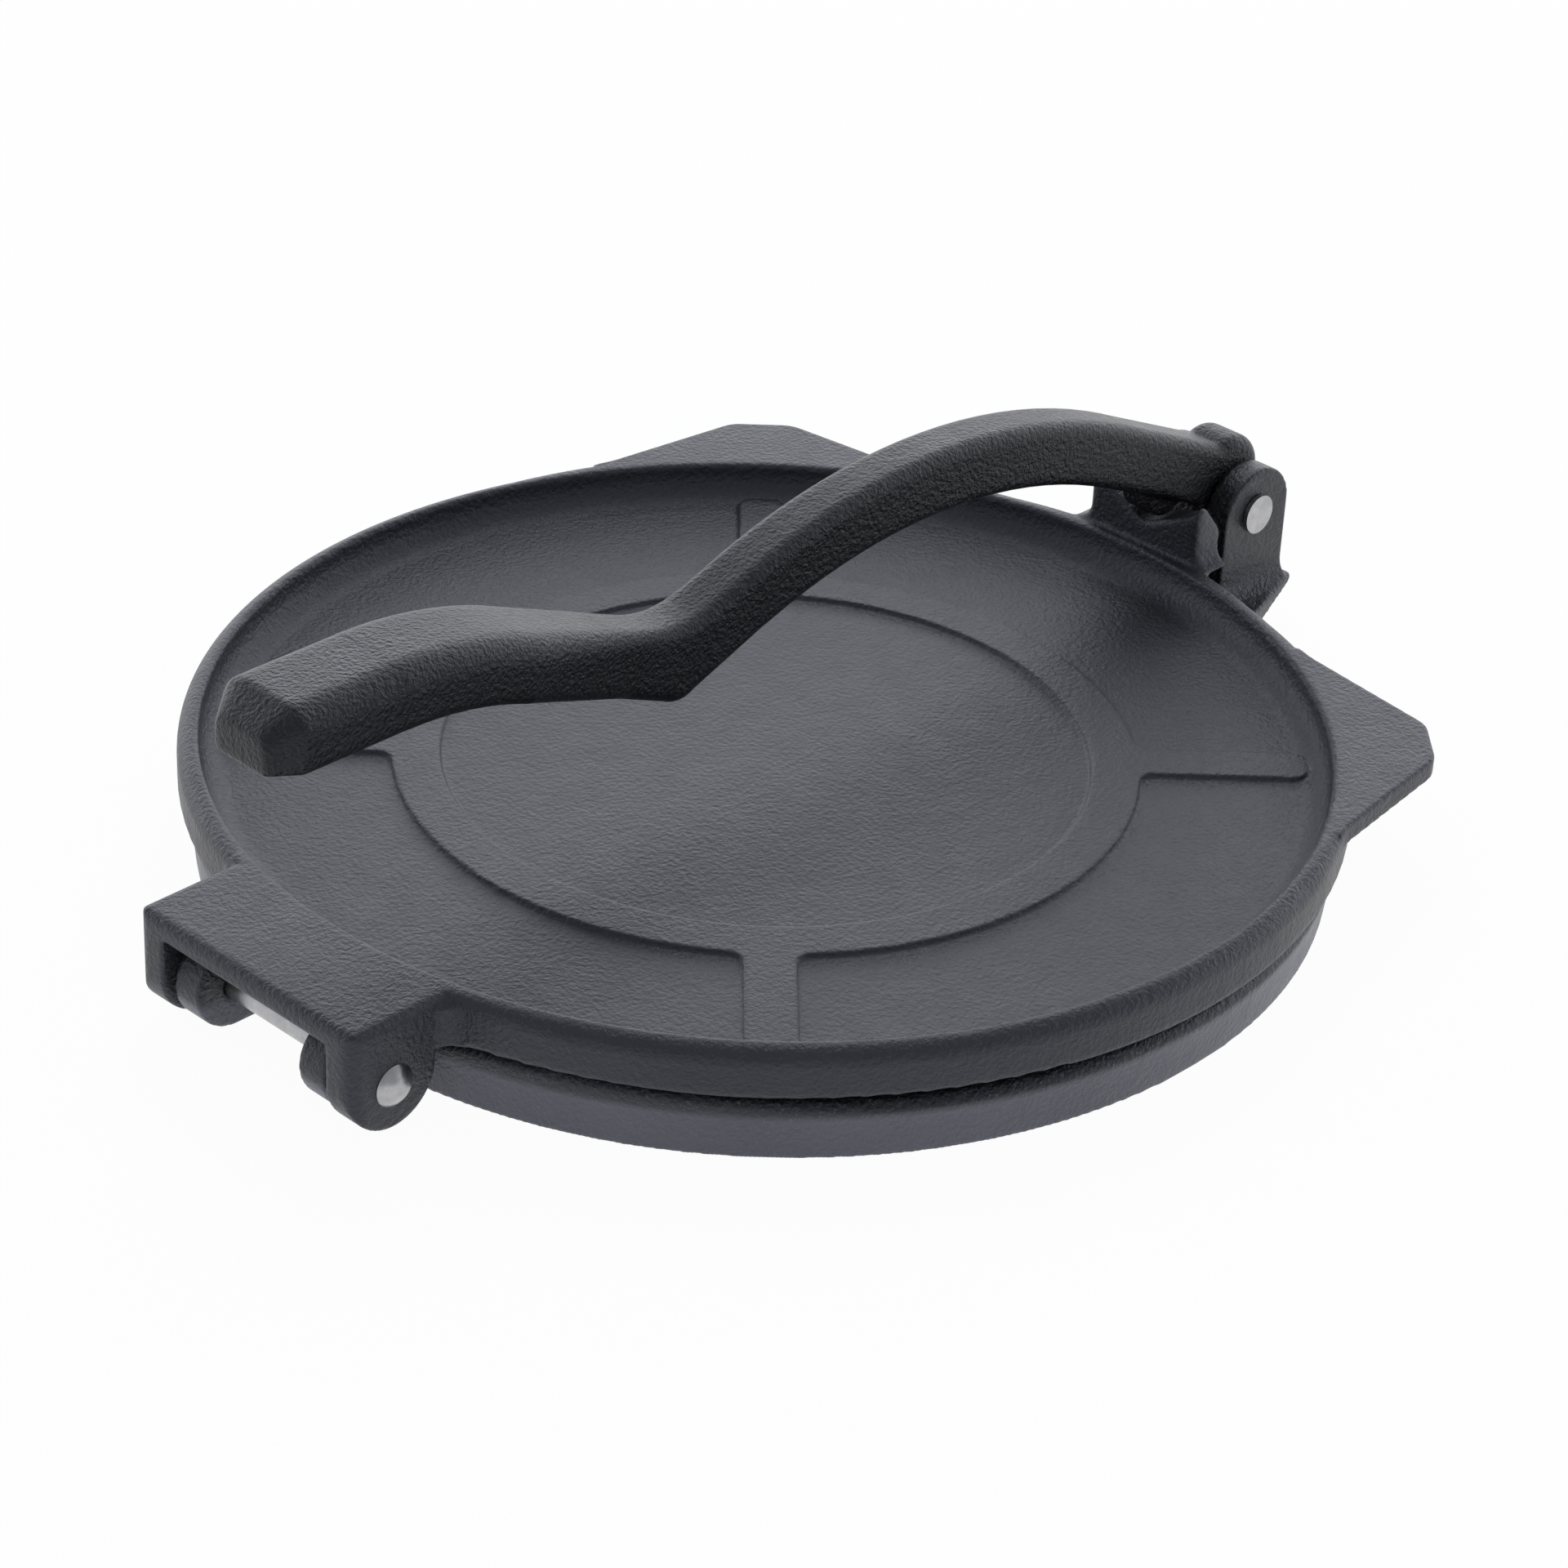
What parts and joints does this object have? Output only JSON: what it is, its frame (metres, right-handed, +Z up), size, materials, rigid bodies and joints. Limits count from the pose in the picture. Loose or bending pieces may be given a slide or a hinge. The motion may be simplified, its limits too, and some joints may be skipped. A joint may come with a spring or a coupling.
{
  "type": "tortilla_press",
  "caption": "Cast iron tortilla press: round base and dished top plate on a rod hinge, closed by an S-shaped lever that presses on a saddle at the rim.",
  "frame": {"origin": "On the table plane under the middle of the plates, on the lower face of the base's middle foot.", "axes": "+Z is up and is the plates' common axis when shut. +X runs from the hinge rod to the lever pin. +Y completes the right-handed frame and is parallel to both pins."},
  "size_m": [0.329, 0.267, 0.0928],
  "materials": {
    "seasoned_iron": "satin",
    "polished_steel": "satin"
  },
  "bodies": {
    "base": {"base_plate": "seasoned_iron", "hinge_rod": "polished_steel", "hinge_cap_near": "polished_steel", "hinge_cap_far": "polished_steel", "lever_pin": "polished_steel", "lever_pin_washer": "polished_steel"},
    "plate": {"top_plate": "seasoned_iron"},
    "lever": {"lever": "seasoned_iron"}
  },
  "joints": [
    {"name": "lever_swing", "type": "hinge", "parent": "base", "child": "lever", "pos_m": [0.1575, 0, 0.0338], "axis": [0, 1, 0], "range_deg": [0, 165]},
    {"name": "plate_swing", "type": "hinge", "parent": "base", "child": "plate", "pos_m": [-0.1435, 0, 0.013], "axis": [0, -1, 0], "range_deg": [0, 98]}
  ],
  "couplings": [
    {"joint": "plate_swing", "follows": "lever_swing", "ratio": 0.07}
  ]
}
